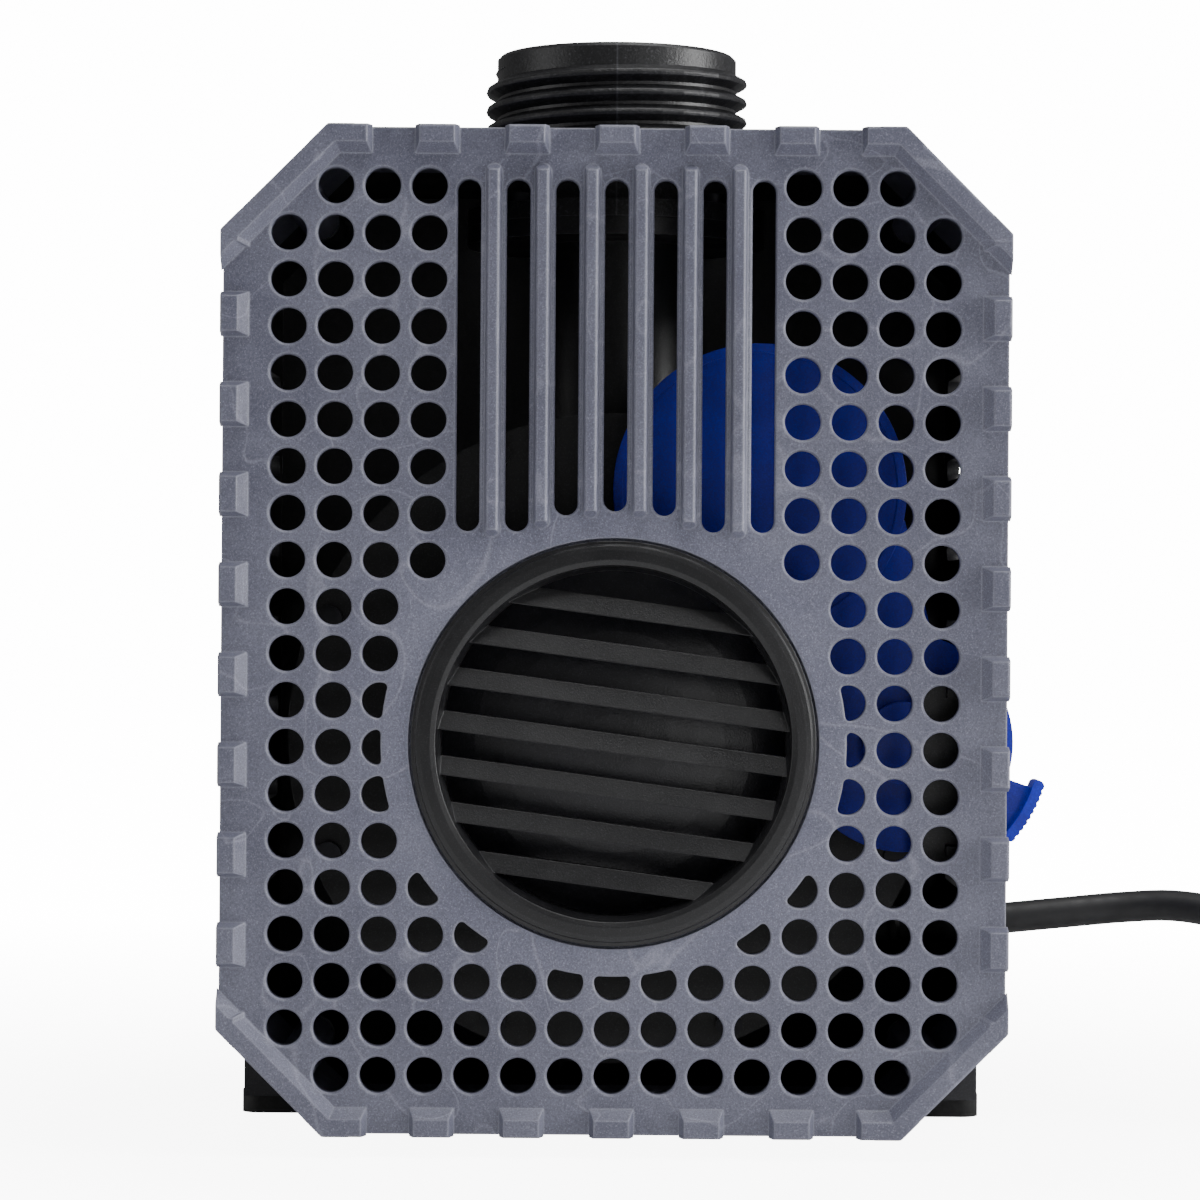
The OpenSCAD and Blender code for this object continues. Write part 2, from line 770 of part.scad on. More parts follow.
module outlet_spigot() {
    color([0.06, 0.06, 0.065])
    difference() {
        rotate_extrude()
            polygon([[pipe_bore, pipe_top], [flange_r, pipe_top], [flange_r, pipe_top + flange_t],
                     [land_d / 2, pipe_top + flange_t], [land_d / 2, outlet_top - 0.8],
                     [land_d / 2 - 0.8, outlet_top], [outlet_bore / 2, outlet_top],
                     [outlet_bore / 2, pipe_top + 12], [pipe_bore, pipe_top + 1]]);
        for (a = [45:90:359])
            rotate(a) translate([30.5, 0, pipe_top - 1]) cylinder(r = 1.7, h = flange_t + 2);
    }
}

module outlet_seal() {
    color([0.02, 0.02, 0.02])
    translate([0, 0, pipe_top - 2]) rotate_extrude() translate([18.55, 0]) square([2.5, 2]);
}

module outlet_screws() {
    color([0.70, 0.70, 0.72])
    for (a = [45:90:359])
        rotate(a) translate([30.5, 0, 0]) {
            translate([0, 0, pipe_top - flange_t]) cylinder(r = 1.5, h = 2 * flange_t);
            translate([0, 0, pipe_top + flange_t]) cylinder(r = 2.8, h = 2);
        }
}

// ---------- rotor ----------

module impeller() {
    blades = 6;
    blade_r = 26;
    hub_front = -20;
    color([0.85, 0.84, 0.80])
    difference() {
        union() {
            turned(0, grille_z)
                polygon([[shaft_r, hub_front], [5, hub_front], [9, -8], [impeller_r, -3], [impeller_r, 0],
                         [10, 0], [10, 2], [shaft_r, 2]]);
            intersection() {
                turned(0, grille_z)
                    polygon([[8, -19], [16, -19], [impeller_r, -12], [impeller_r, -2], [8, -2]]);
                slab(-20, -2) translate([0, grille_z]) for (k = [0:blades - 1])
                    rotate(k * 360 / blades) translate([blade_r * 0.55, blade_r * 0.8])
                        difference() {
                            circle(r = blade_r + 1.1);
                            circle(r = blade_r - 1.1);
                            translate([-60, 2]) square([120, 60]);
                            translate([-120, -60]) square([112, 120]);
                        }
            }
        }
        bar(0, grille_z, -30, 10, shaft_r + fit);
    }
}

module rotor_shaft() {
    color([0.93, 0.93, 0.92])
    bar(0, grille_z, cover_y - 0.5, 39.6, shaft_r);
}

module rotor_magnet() {
    color([0.25, 0.25, 0.27])
    band(0, grille_z, 7, 36.8, shaft_r + fit, magnet_r);
}

module thrust_washer() {
    color([0.93, 0.93, 0.92])
    band(0, grille_z, 2, 7, shaft_r + fit, 8);
}

module front_bush() {
    color([0.15, 0.15, 0.15])
    band(0, grille_z, cover_y - 1, cover_y + cover_t + 3, shaft_r + shaft_play, 5);
}

module rear_bush() {
    color([0.15, 0.15, 0.15])
    band(0, grille_z, 37.2, 40, shaft_r + shaft_play, 8);
}

module rotor_can() {
    color([0.60, 0.60, 0.62])
    turned(0, grille_z)
        polygon([[can_bore, body_back], [30, body_back], [30, body_back + 2], [can_r, body_back + 2],
                 [can_r, 42], [0, 42], [0, 40], [can_bore, 40]]);
}

// ---------- motor ----------

module motor_housing() {
    ribs = 12;
    entry = entry_point();
    color([0.06, 0.06, 0.065])
    difference() {
        union() {
            bar(0, grille_z, body_back, motor_back, motor_r);
            bar(0, grille_z, body_back, body_back + 5, motor_flange);
            for (k = [0:ribs - 1])
                translate([0, 0, grille_z]) rotate([0, (k + 0.5) * 360 / ribs, 0])
                    translate([-1.5, body_back, motor_r - 1]) cube([3, motor_back - body_back, 3.5]);
            translate([18, entry[1] - 9, entry[2] - 9]) cube([entry[0] - 18, 18, 26]);
        }
        bar(0, grille_z, body_back + 6, motor_back + 1, motor_r - motor_wall);
        bar(0, grille_z, body_back - 1, body_back + 2, 30 + fit);
        bar(0, grille_z, body_back, body_back + 8, can_r + 0.2);
        band(0, grille_z, body_back - 1, body_back + 1.5, 48, 50.5);
        translate(entry) rotate([0, 90 - cord_rise, 0]) translate([0, 0, -13]) cylinder(r = 4.2, h = 16);
        for (k = [0:5])
            translate([0, 0, grille_z]) rotate([0, k * 60, 0]) bar(0, 54, body_back - 1, body_back + 6, 1.7);
    }
}

module motor_seal() {
    color([0.02, 0.02, 0.02])
    band(0, grille_z, body_back, body_back + 1.45, 48 + fit, 50.5 - fit);
}

module motor_screws() {
    color([0.70, 0.70, 0.72])
    for (k = [0:5])
        translate([0, 0, grille_z]) rotate([0, k * 60, 0]) {
            bar(0, 54, chamber_back + 0.5, body_back + 5, 1.5);
            bar(0, 54, body_back + 5, body_back + 7.4, 2.9);
        }
}

module motor_cap() {
    color([0.06, 0.06, 0.065])
    difference() {
        union() {
            bar(0, grille_z, motor_back, motor_back + 4, motor_r);
            slab(motor_back, motor_back + 4) translate([0, grille_z]) for (a = [45:90:359])
                rotate(a) {
                    translate([30, -8]) square([24, 16]);
                    translate([54, 0]) circle(r = 8);
                }
        }
        for (a = [45:90:359])
            translate([0, 0, grille_z]) rotate([0, a, 0]) bar(0, 54, motor_back + 2, motor_back + 5, 4);
    }
}

module motor_mounts() {
    color([0.03, 0.03, 0.03])
    for (a = [45:90:359])
        translate([0, 0, grille_z]) rotate([0, a, 0]) {
            bar(0, 54, motor_back + 4, back_y - wall, 7);
            bar(0, 54, motor_back + 2, motor_back + 4, 4 - fit);
        }
}

module stator_core() {
    core_back = 38;
    color([0.45, 0.46, 0.48])
    difference() {
        bar(0, grille_z, body_back + 8, core_back, stator_r);
        bar(0, grille_z, body_back + 7, core_back + 1, can_r + 0.3);
        // windows between the poles
        for (a = [0:90:359])
            slab(body_back + 7, core_back + 1) translate([0, grille_z]) rotate(a + 45)
                difference() {
                    translate([0, -17]) square([60, 34]);
                    translate([35, -60]) square([60, 120]);
                }
    }
}

module stator_coils() {
    color([0.70, 0.36, 0.16])
    for (a = [0:90:359])
        translate([0, 0, grille_z]) rotate([0, a, 0])
            difference() {
                translate([-11.4, body_back + 6.5, 25]) cube([22.8, 25, 5]);
                translate([-6.9, body_back + 7.9, 24]) cube([13.8, 22.2, 8]);
            }
}

module potting_resin() {
    color([0.03, 0.03, 0.035])
    bar(0, grille_z, 42.5, motor_back, stator_r);
}

module thermal_cutout() {
    color([0.80, 0.78, 0.70])
    translate([-6, 39, grille_z + 32]) cube([12, 3.4, 6]);
}

// ---------- cord ----------

function cord_axis() = [cos(cord_rise), 0, sin(cord_rise)];
function entry_point() = cord_tip - (relief_l + 8) * cord_axis();

// Children are drawn along +Z and put on the cord's axis, from a distance before its tip
module on_cord(back) {
    translate(cord_tip - back * cord_axis()) rotate([0, 90 - cord_rise, 0]) children();
}

module cable_gland() {
    color([0.10, 0.10, 0.11])
    on_cord(relief_l + 8)
        difference() {
            union() {
                cylinder(r = 10, h = 5, $fn = 6);
                cylinder(r = 8, h = 8);
                translate([0, 0, -12]) cylinder(r = 4.2 - fit, h = 13);
            }
            translate([0, 0, -13]) cylinder(r = 2.5, h = 22);
        }
}

module strain_relief() {
    color([0.05, 0.05, 0.05])
    on_cord(relief_l)
        rotate_extrude()
            polygon([[0, 0], [6.6, 0], [6.6, 3], [5.6, 4], [5.6, 7], [6, 7.6], [6, 9], [5.2, 10], [5.2, 12.5],
                     [5.6, 13.1], [5.6, 14.4], [4.9, 15.4], [4.9, 18], [5.2, 18.6], [5.2, 19.8], [4.5, 20.8],
                     [4.3, relief_l], [0, relief_l]]);
}

// A round tube swept along a route, with rings in between its points
function unit(v) = v / norm(v);
function route_point(p, t) =
    let (i = min(floor(t), len(p) - 2), f = t - i,
         a = p[max(i - 1, 0)], b = p[i], c = p[i + 1], d = p[min(i + 2, len(p) - 1)])
    0.5 * (2 * b + (c - a) * f + (2 * a - 5 * b + 4 * c - d) * f * f + (3 * b - a - 3 * c + d) * f * f * f);
function route_way(p, t) =
    let (e = 0.02, last = len(p) - 1)
    unit(route_point(p, min(t + e, last)) - route_point(p, max(t - e, 0)));

module swept_tube(route, r, sides, rings) {
    last = len(route) - 1;
    points = [for (i = [0:rings])
        let (t = last * i / rings, at = route_point(route, t), way = route_way(route, t),
             across = unit(cross(way, [0, 0, 1])), up = cross(across, way))
        for (j = [0:sides - 1]) at + r * (cos(360 * j / sides) * across + sin(360 * j / sides) * up)];
    polyhedron(points, tube_faces(rings, sides));
}

module power_cord() {
    color([0.04, 0.04, 0.04]) swept_tube(cord_route, cord_r, 12, 28);
}

module cord_tail() {
    color([0.04, 0.04, 0.04]) swept_tube(tail_route, cord_r, 12, 20);
}

module cord_coil() {
    color([0.04, 0.04, 0.04])
    translate([coil_at[0], coil_at[1], tie_t])
        rotate_extrude() translate([coil_mid_r - coil_side / 2, 0]) square(coil_side);
}

module coil_ties() {
    inner = coil_side + 2 * fit;
    tie_w = 6;
    color([0.02, 0.02, 0.02])
    for (a = [175, 305])
        translate([coil_at[0], coil_at[1], 0]) rotate(a) translate([coil_mid_r - coil_side / 2 - fit, -tie_w / 2, 0])
            difference() {
                translate([-tie_t, 0, 0]) cube([inner + 2 * tie_t, tie_w, inner + 2 * tie_t]);
                translate([0, -1, tie_t]) cube([inner, tie_w + 2, inner]);
            }
}

// ---------- plug ----------

// A profile of radius and distance from the cord's end of the boot, towards -X
module plug_turned() {
    translate([plug_x, plug_y, plug_z]) rotate([0, -90, 0]) rotate_extrude() children();
}

module plug_boot() {
    color([0.05, 0.05, 0.05])
    plug_turned() polygon([[0, 0], [4.4, 0], [4.8, 6], [5.4, 12], [6.2, 18], [7.4, 22], [0, 22]]);
}

module plug_body() {
    color([0.05, 0.05, 0.05])
    difference() {
        plug_turned()
            polygon([[0, 22], [9, 22], [11, 24], [12.5, 34], [16, 44], [18.4, 48], [plug_r, 50], [plug_r, 62],
                     [18.2, 63], [0, 63]]);
        for (side = [-1, 1]) {
            // guide grooves and pin holes
            translate([plug_x - 64, plug_y + side * (plug_r - 1) - 2, plug_z - 2.6]) cube([16, 4, 5.2]);
            translate([plug_x - 64, plug_y, plug_z + side * 9.5]) rotate([0, 90, 0]) cylinder(r = 2.4 + fit, h = 12);
        }
    }
}

module plug_pins() {
    color([0.80, 0.78, 0.72])
    for (side = [-1, 1])
        translate([plug_x - 63 - 19, plug_y, plug_z + side * 9.5]) rotate([0, 90, 0]) {
            translate([0, 0, 1]) cylinder(r = 2.4, h = 29);
            cylinder(r1 = 1.4, r2 = 2.4, h = 1);
        }
}

module plug_contacts() {
    color([0.80, 0.78, 0.72])
    for (side = [-1, 1])
        translate([plug_x - 62, plug_y + side * (plug_r - 2.4) - 0.5, plug_z - 2]) cube([12, 1, 4]);
}

front_cage();
rear_cage();
cage_screws();
front_sole();
rear_sole();
suction_grille();
baffle_disc();
grille_seal();
gate_selector();
gate_pin();
gate_washer();
gate_keeper();
intake_collar();
collar_screws();
volute_cover();
volute_gasket();
volute_body();
volute_screws();
outlet_spigot();
outlet_thread();
outlet_seal();
outlet_screws();
impeller();
rotor_shaft();
rotor_magnet();
thrust_washer();
front_bush();
rear_bush();
rotor_can();
motor_housing();
motor_seal();
motor_cap();
motor_screws();
motor_mounts();
stator_core();
stator_coils();
potting_resin();
thermal_cutout();
cable_gland();
strain_relief();
power_cord();
cord_coil();
cord_tail();
coil_ties();
plug_boot();
plug_body();
plug_pins();
plug_contacts();
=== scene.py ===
import json
from math import cos, pi, radians, sin

import bmesh
import bpy
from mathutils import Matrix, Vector


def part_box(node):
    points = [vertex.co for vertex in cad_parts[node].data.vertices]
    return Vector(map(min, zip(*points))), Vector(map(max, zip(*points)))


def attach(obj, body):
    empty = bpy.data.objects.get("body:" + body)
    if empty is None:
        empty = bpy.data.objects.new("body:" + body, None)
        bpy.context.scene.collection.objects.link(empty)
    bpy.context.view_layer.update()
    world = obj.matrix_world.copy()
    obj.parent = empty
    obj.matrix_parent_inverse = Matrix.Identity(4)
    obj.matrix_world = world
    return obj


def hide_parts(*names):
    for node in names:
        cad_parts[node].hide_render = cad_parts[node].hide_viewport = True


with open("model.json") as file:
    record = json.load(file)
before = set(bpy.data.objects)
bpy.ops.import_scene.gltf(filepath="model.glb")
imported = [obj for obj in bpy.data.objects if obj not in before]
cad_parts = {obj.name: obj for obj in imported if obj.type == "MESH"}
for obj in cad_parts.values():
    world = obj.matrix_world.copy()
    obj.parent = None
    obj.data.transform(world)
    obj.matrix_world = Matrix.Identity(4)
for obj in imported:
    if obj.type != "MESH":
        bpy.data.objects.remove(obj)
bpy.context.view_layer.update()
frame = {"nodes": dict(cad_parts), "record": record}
nodes = frame["nodes"]
mm = 0.001


# camera, in front of the louvres and a little above the pump's middle
cameraView = {
    "lens": 111.15,
    "sensorWidth": 36.0,
    "place": (-3.09, -850.0, 119.25),    # millimetres
    "roll": 0.37,                       # degrees
    "clip": (0.01, 20),                 # metres
}


def makeCamera():
    data = bpy.data.cameras.new("frontCamera")
    data.lens = cameraView["lens"]
    data.sensor_width = cameraView["sensorWidth"]
    data.clip_start, data.clip_end = cameraView["clip"]
    camera = bpy.data.objects.new("frontCamera", data)
    camera.location = Vector(cameraView["place"]) * mm
    camera.rotation_euler = (radians(90), radians(-cameraView["roll"]), 0)
    bpy.context.scene.collection.objects.link(camera)
    bpy.context.scene.camera = camera


makeCamera()
print("camera placed")


# node building, shared by every finish

bumpDepth = 0.0002                      # metres
# an edge gets a painted highlight where the rounded normal leans from the flat one: none at flatAt, all of it
# at sharpAt
roundedEdge = {"samples": 6, "flatAt": 0.995, "sharpAt": 0.86}


def newFinish(name):
    material = bpy.data.materials.new(name)
    material.use_nodes = True
    tree = material.node_tree
    return material, tree, tree.nodes["Principled BSDF"]


def addNode(tree, kind, inputs=None, **settings):
    made = tree.nodes.new(kind)
    for key, value in settings.items():
        setattr(made, key, value)
    for key, value in (inputs or {}).items():
        if hasattr(value, "is_output"):
            tree.links.new(value, made.inputs[key])
        else:
            made.inputs[key].default_value = value
    return made


def objectPlace(tree):
    return addNode(tree, "ShaderNodeTexCoord").outputs["Object"]


def noiseOf(tree, place, scale, detail=3, roughness=0.5, distortion=0):
    made = addNode(tree, "ShaderNodeTexNoise", {"Vector": place, "Scale": scale, "Detail": detail,
                                                "Roughness": roughness, "Distortion": distortion})
    return made.outputs["Fac"]


def rampOf(tree, fac, stops):
    made = addNode(tree, "ShaderNodeValToRGB", {"Fac": fac})
    ramp = made.color_ramp
    while len(ramp.elements) < len(stops):
        ramp.elements.new(0.5)
    for element, (place, colour) in zip(ramp.elements, stops):
        element.position = place
        element.color = colour if len(colour) == 4 else (*colour, 1)
    return made.outputs["Color"]


def rangeOf(tree, value, low, high, toLow, toHigh):
    made = addNode(tree, "ShaderNodeMapRange", {"Value": value, "From Min": low, "From Max": high,
                                                "To Min": toLow, "To Max": toHigh})
    return made.outputs["Result"]


def mixColour(tree, fac, a, b, blend="MIX"):
    made = addNode(tree, "ShaderNodeMix", {"Factor": fac}, data_type="RGBA", blend_type=blend)
    for socket, value in ((made.inputs[6], a), (made.inputs[7], b)):
        if hasattr(value, "is_output"):
            tree.links.new(value, socket)
        else:
            socket.default_value = (*value, 1)
    return made.outputs[2]


def mathOf(tree, operation, a, b):
    made = addNode(tree, "ShaderNodeMath", {0: a, 1: b}, operation=operation)
    return made.outputs[0]


def vectorOf(tree, operation, a, b=None, result="Vector"):
    inputs = {0: a} if b is None else {0: a, 1: b}
    return addNode(tree, "ShaderNodeVectorMath", inputs, operation=operation).outputs[result]


def softEdge(tree, radius):
    made = addNode(tree, "ShaderNodeBevel", {"Radius": radius * mm}, samples=roundedEdge["samples"])
    return made.outputs["Normal"]


# painted highlight: how far an edge is lightened, set by how far the rounded normal leans from the flat one
def paintedEdgeShine(tree, rounded, most):
    flat = addNode(tree, "ShaderNodeNewGeometry").outputs["True Normal"]
    along = vectorOf(tree, "DOT_PRODUCT", rounded, flat, "Value")
    return rangeOf(tree, along, roundedEdge["flatAt"], roundedEdge["sharpAt"], 0, most)


def bumpOf(tree, shader, height, strength, rounded=None):
    inputs = {"Height": height, "Strength": strength, "Distance": bumpDepth}
    if rounded:
        inputs["Normal"] = rounded
    made = addNode(tree, "ShaderNodeBump", inputs)
    tree.links.new(made.outputs["Normal"], shader.inputs["Normal"])


# moulded plastics: a colour that drifts a little, a fine sparkle, faint flow lines, and a gloss that isn't even

mouldedPlastics = {
    "cageFront": {"dark": (0.112, 0.115, 0.160), "light": (0.150, 0.154, 0.205), "speck": (0.330, 0.335, 0.410),
                  "rough": (0.30, 0.42), "grain": 2600, "bump": 0.16,
                  "sparkle": 0.40, "lines": 0.30, "edge": 0.75, "paintedShine": 0.62,
                  "paintedLandShine": 1.20},        # painted sheen: the land round the grille is painted this much paler
    "cageRear": {"dark": (0.008, 0.008, 0.010), "light": (0.018, 0.018, 0.021), "speck": (0.05, 0.05, 0.055),
                 "rough": (0.45, 0.60), "grain": 2200, "bump": 0.22,
                 "sparkle": 0.30, "lines": 0.05, "edge": 0.35, "paintedShine": 0.45},
    "satinBlack": {"dark": (0.004, 0.004, 0.005), "light": (0.009, 0.009, 0.010),
                   "speck": (0.040, 0.040, 0.046),
                   "rough": (0.28, 0.40), "grain": 2600, "bump": 0.22,
                   "sparkle": 0.40, "lines": 0.04, "edge": 0.35, "paintedShine": 0.22},
    "grilleBlack": {"dark": (0.006, 0.006, 0.008), "light": (0.012, 0.012, 0.016),
                    "speck": (0.045, 0.045, 0.055),
                    "rough": (0.32, 0.38), "grain": 2400, "bump": 0.30,
                    "sparkle": 0.35, "lines": 0.04, "edge": 0.35, "paintedShine": 0.30},
    "outletBlack": {"dark": (0.003, 0.003, 0.004), "light": (0.008, 0.008, 0.009),
                    "speck": (0.070, 0.070, 0.080),
                    "rough": (0.34, 0.48), "grain": 1500, "bump": 0.55,
                    "sparkle": 0.35, "lines": 0.04, "edge": 0.40, "paintedShine": 0.35,
                    "seam": 0.3},       # millimetres, the mould's parting line up the outlet
    "gateBlue": {"dark": (0.002, 0.006, 0.34), "light": (0.003, 0.014, 0.55), "speck": (0.01, 0.06, 0.75),
                 "rough": (0.34, 0.46), "grain": 2400, "bump": 0.12,
                 "sparkle": 0.20, "lines": 0.05, "edge": 0.30, "paintedShine": 0.30},
    "naturalWhite": {"dark": (0.52, 0.50, 0.43), "light": (0.64, 0.62, 0.55), "speck": (0.70, 0.68, 0.62),
                     "rough": (0.35, 0.50), "grain": 2400, "bump": 0.10,
                     "sparkle": 0.15, "lines": 0.05, "edge": 0.30, "paintedShine": 0.20},
}


# what they all share: soft clouds of colour, thin flow lines, and how far the grain darkens or lifts the colour
mouldedSurface = {
    "drift": {"scale": 20, "detail": 4, "roughness": 0.6, "distortion": 1.6},
    "flow": {"scale": 17, "detail": 1, "roughness": 0.4, "distortion": 2.4},
    "flowWidth": 0.010,
    "sparkleScale": 1.25,               # times the grain's
    "shade": (0.80, 1.16),
    "landWidth": 0.006,                 # metres, the land outside the grille that is painted paler as a sheen
    "landFade": 0.022,                  # metres, from painted sheen to plain
    "seamShow": 0.6,
}


def mouldedPlastic(name):
    s, shared = mouldedPlastics[name], mouldedSurface
    material, tree, shader = newFinish(name)
    place = objectPlace(tree)
    drift = noiseOf(tree, place, **shared["drift"])
    grain = noiseOf(tree, place, s["grain"], 2, 0.6)
    colour = rampOf(tree, drift, [(0.34, s["dark"]), (0.66, s["light"])])
    sparkle = noiseOf(tree, place, s["grain"] * shared["sparkleScale"], 1, 0.5)
    sparkle = rangeOf(tree, sparkle, 0.56, 0.72, 0, s["sparkle"])
    colour = mixColour(tree, sparkle, colour, s["speck"])
    flow = mathOf(tree, "SUBTRACT", noiseOf(tree, place, **shared["flow"]), 0.5)
    flow = mathOf(tree, "ABSOLUTE", flow, 0)
    colour = mixColour(tree, rangeOf(tree, flow, 0, shared["flowWidth"], s["lines"], 0), colour, s["speck"])
    shade = rangeOf(tree, grain, 0.35, 0.65, *shared["shade"])
    # painted sheen: the land round the grille is made paler, fading out with distance from the grille's axis
    if "paintedLandShine" in s:
        low, high = (Vector(c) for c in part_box("suction_grille"))
        landEdge = (high.x - low.x) / 2 + shared["landWidth"]
        away = vectorOf(tree, "SUBTRACT", place, (low + high) / 2)
        away = vectorOf(tree, "MULTIPLY", away, (1, 0, 1))
        away = vectorOf(tree, "LENGTH", away, None, "Value")
        paintedShine = rangeOf(tree, away, landEdge, landEdge + shared["landFade"], s["paintedLandShine"], 1)
        shade = mathOf(tree, "MULTIPLY", shade, paintedShine)
    colour = mixColour(tree, 1, colour, shade, "MULTIPLY")
    rounded = softEdge(tree, s["edge"])
    # painted highlight: edges are mixed toward the pale speck colour
    colour = mixColour(tree, paintedEdgeShine(tree, rounded, s["paintedShine"]), colour, s["speck"])
    if "seam" in s:
        sideways = addNode(tree, "ShaderNodeSeparateXYZ", {"Vector": place}).outputs["X"]
        line = rangeOf(tree, mathOf(tree, "ABSOLUTE", sideways, 0), 0, s["seam"] * mm, shared["seamShow"], 0)
        colour = mixColour(tree, line, colour, s["speck"])
    tree.links.new(colour, shader.inputs["Base Color"])
    tree.links.new(rangeOf(tree, drift, 0.3, 0.7, *s["rough"]), shader.inputs["Roughness"])
    bumpOf(tree, shader, grain, s["bump"], rounded)
    return material


# soft black rubber of soles, seals and cord sheath

rubbers = {
    "soleRubber": {"dark": (0.008, 0.008, 0.008), "light": (0.018, 0.018, 0.018),
                   "rough": (0.55, 0.75), "grain": 1800, "bump": 0.25},
    "cordRubber": {"dark": (0.004, 0.004, 0.005), "light": (0.008, 0.008, 0.009),
                   "rough": (0.50, 0.62), "grain": 2600, "bump": 0.10},
}


def rubber(name):
    s = rubbers[name]
    material, tree, shader = newFinish(name)
    place = objectPlace(tree)
    drift = noiseOf(tree, place, 60, 4, 0.6, 0.8)
    tree.links.new(rampOf(tree, drift, [(0.35, s["dark"]), (0.65, s["light"])]), shader.inputs["Base Color"])
    smear = noiseOf(tree, place, 300, 3)
    tree.links.new(rangeOf(tree, smear, 0.35, 0.65, *s["rough"]), shader.inputs["Roughness"])
    bumpOf(tree, shader, noiseOf(tree, place, s["grain"], 3, 0.6), s["bump"])
    return material


# metals and the motor's inner materials

metals = {
    "stainless": {"colour": (0.62, 0.62, 0.63), "rough": (0.22, 0.38), "metal": 1.0, "grain": 1500},
    "pressedSteel": {"colour": (0.52, 0.52, 0.54), "rough": (0.26, 0.42), "metal": 1.0, "grain": 900},
    "laminations": {"colour": (0.30, 0.30, 0.31), "rough": (0.40, 0.55), "metal": 1.0, "grain": 2600},
    "copperWire": {"colour": (0.68, 0.30, 0.14), "rough": (0.25, 0.40), "metal": 1.0, "grain": 1600},
    "platedBrass": {"colour": (0.78, 0.75, 0.68), "rough": (0.15, 0.25), "metal": 1.0, "grain": 900},
    "blackSteel": {"colour": (0.050, 0.050, 0.055), "rough": (0.32, 0.48), "metal": 1.0, "grain": 1500},
    "ferrite": {"colour": (0.07, 0.07, 0.075), "rough": (0.35, 0.50), "metal": 0.0, "grain": 1800},
    "graphite": {"colour": (0.03, 0.03, 0.032), "rough": (0.35, 0.50), "metal": 0.0, "grain": 1800},
    "ceramic": {"colour": (0.80, 0.80, 0.78), "rough": (0.12, 0.20), "metal": 0.0, "grain": 900},
    "pottingResin": {"colour": (0.012, 0.012, 0.014), "rough": (0.12, 0.30), "metal": 0.0, "grain": 120},
}


# what they all share: the drift's scale as a share of the grain's, its darker colour, and a faint bump
coreSurface = {"driftShare": 0.25, "darker": 0.82, "bump": 0.06}


def metalOrCore(name):
    s = metals[name]
    material, tree, shader = newFinish(name)
    place = objectPlace(tree)
    shader.inputs["Metallic"].default_value = s["metal"]
    drift = noiseOf(tree, place, s["grain"] * coreSurface["driftShare"], 3, 0.6, 0.5)
    darker = tuple(c * coreSurface["darker"] for c in s["colour"])
    tree.links.new(rampOf(tree, drift, [(0.35, darker), (0.65, s["colour"])]), shader.inputs["Base Color"])
    tree.links.new(rangeOf(tree, drift, 0.35, 0.65, *s["rough"]), shader.inputs["Roughness"])
    bumpOf(tree, shader, noiseOf(tree, place, s["grain"], 2), coreSurface["bump"])
    return material


finishes = {name: mouldedPlastic(name) for name in mouldedPlastics}
finishes.update({name: rubber(name) for name in rubbers})
finishes.update({name: metalOrCore(name) for name in metals})

finishOfSlot = {
    "cage_front": "cageFront", "cage_rear": "cageRear", "black_plastic": "satinBlack",
    "blue_plastic": "gateBlue", "pale_plastic": "naturalWhite", "rubber": "soleRubber",
    "stainless": "stainless", "ceramic": "ceramic", "black_steel": "blackSteel", "magnet": "ferrite",
    "graphite": "graphite", "pressed_steel": "pressedSteel", "lamination": "laminations",
    "copper": "copperWire", "resin": "pottingResin", "cord_rubber": "cordRubber",
    "plated_brass": "platedBrass",
}

finishOfNode = {"outlet_spigot": "outletBlack", "outlet_thread": "outletBlack", "baffle_disc": "grilleBlack"}

for part in frame["record"]["subparts"]:
    mesh = nodes[part["node"]].data
    mesh.materials.clear()
    mesh.materials.append(finishes[finishOfNode.get(part["node"], finishOfSlot[part["material_slot"]])])
print("finishes on the CAD nodes")


# power cord: lead-in, coil and tail are one spline, 10 m long

cordShape = {
    "diameter": 7.4,
    "length": 10000.0,
    "leadIn": [(78, 20, 43.8), (93, 20, 45.3), (108, 20, 46.8), (120, 19.3, 48), (131, 16, 48.7),
               (141, 10.2, 47.5), (153, 3, 43.6), (164, -6, 37), (174, -15.5, 29), (184, -23, 20.5),
               (194, -28.5, 13), (205, -32, 7.8), (218, -33, 5), (233, -31.5, 4.5), (248, -29.3, 4.5)],
    "tail": [(286.8, 25.4, 34.1), (290.6, 37.6, 35.6), (292.4, 50, 38.4), (292.9, 61, 41.3), (293, 72, 44),
             (293, 83, 46.6), (288.7, 99, 50), (277, 110.7, 53.6), (269, 114, 56.4), (261, 115, 56.8)],
    "centre": (234, 50),
    "innerRadius": 50.9,
    "columns": 5,
    "rows": 5,
    "lowestRow": 4.5,
    "startAngle": -80,
    "endAngle": -25,
    "topTurns": 3,
    "shiftOver": 40,                    # degrees of turn in which a column or a row changes
    "stepsPerTurn": 48,
    "stepsPerPoint": 5,                 # along the lead-in and the tail
}


def smoothRoute(points, parts):
    ends = [points[0]] + points + [points[-1]]
    line = []
    for i in range(1, len(points)):
        a, b, c, d = (Vector(p) for p in ends[i - 1:i + 3])
        for k in range(parts):
            f = k / parts
            bend = (2 * a - 5 * b + 4 * c - d) * f ** 2 + (3 * b - a - 3 * c + d) * f ** 3
            line.append(0.5 * (2 * b + (c - a) * f + bend))
    return line + [Vector(points[-1])]


def quarterTurn(now, end):
    over = cordShape["shiftOver"]
    t = min(max((now - end + over) / over, 0), 1)
    return t * t * (3 - 2 * t) * pi / 2


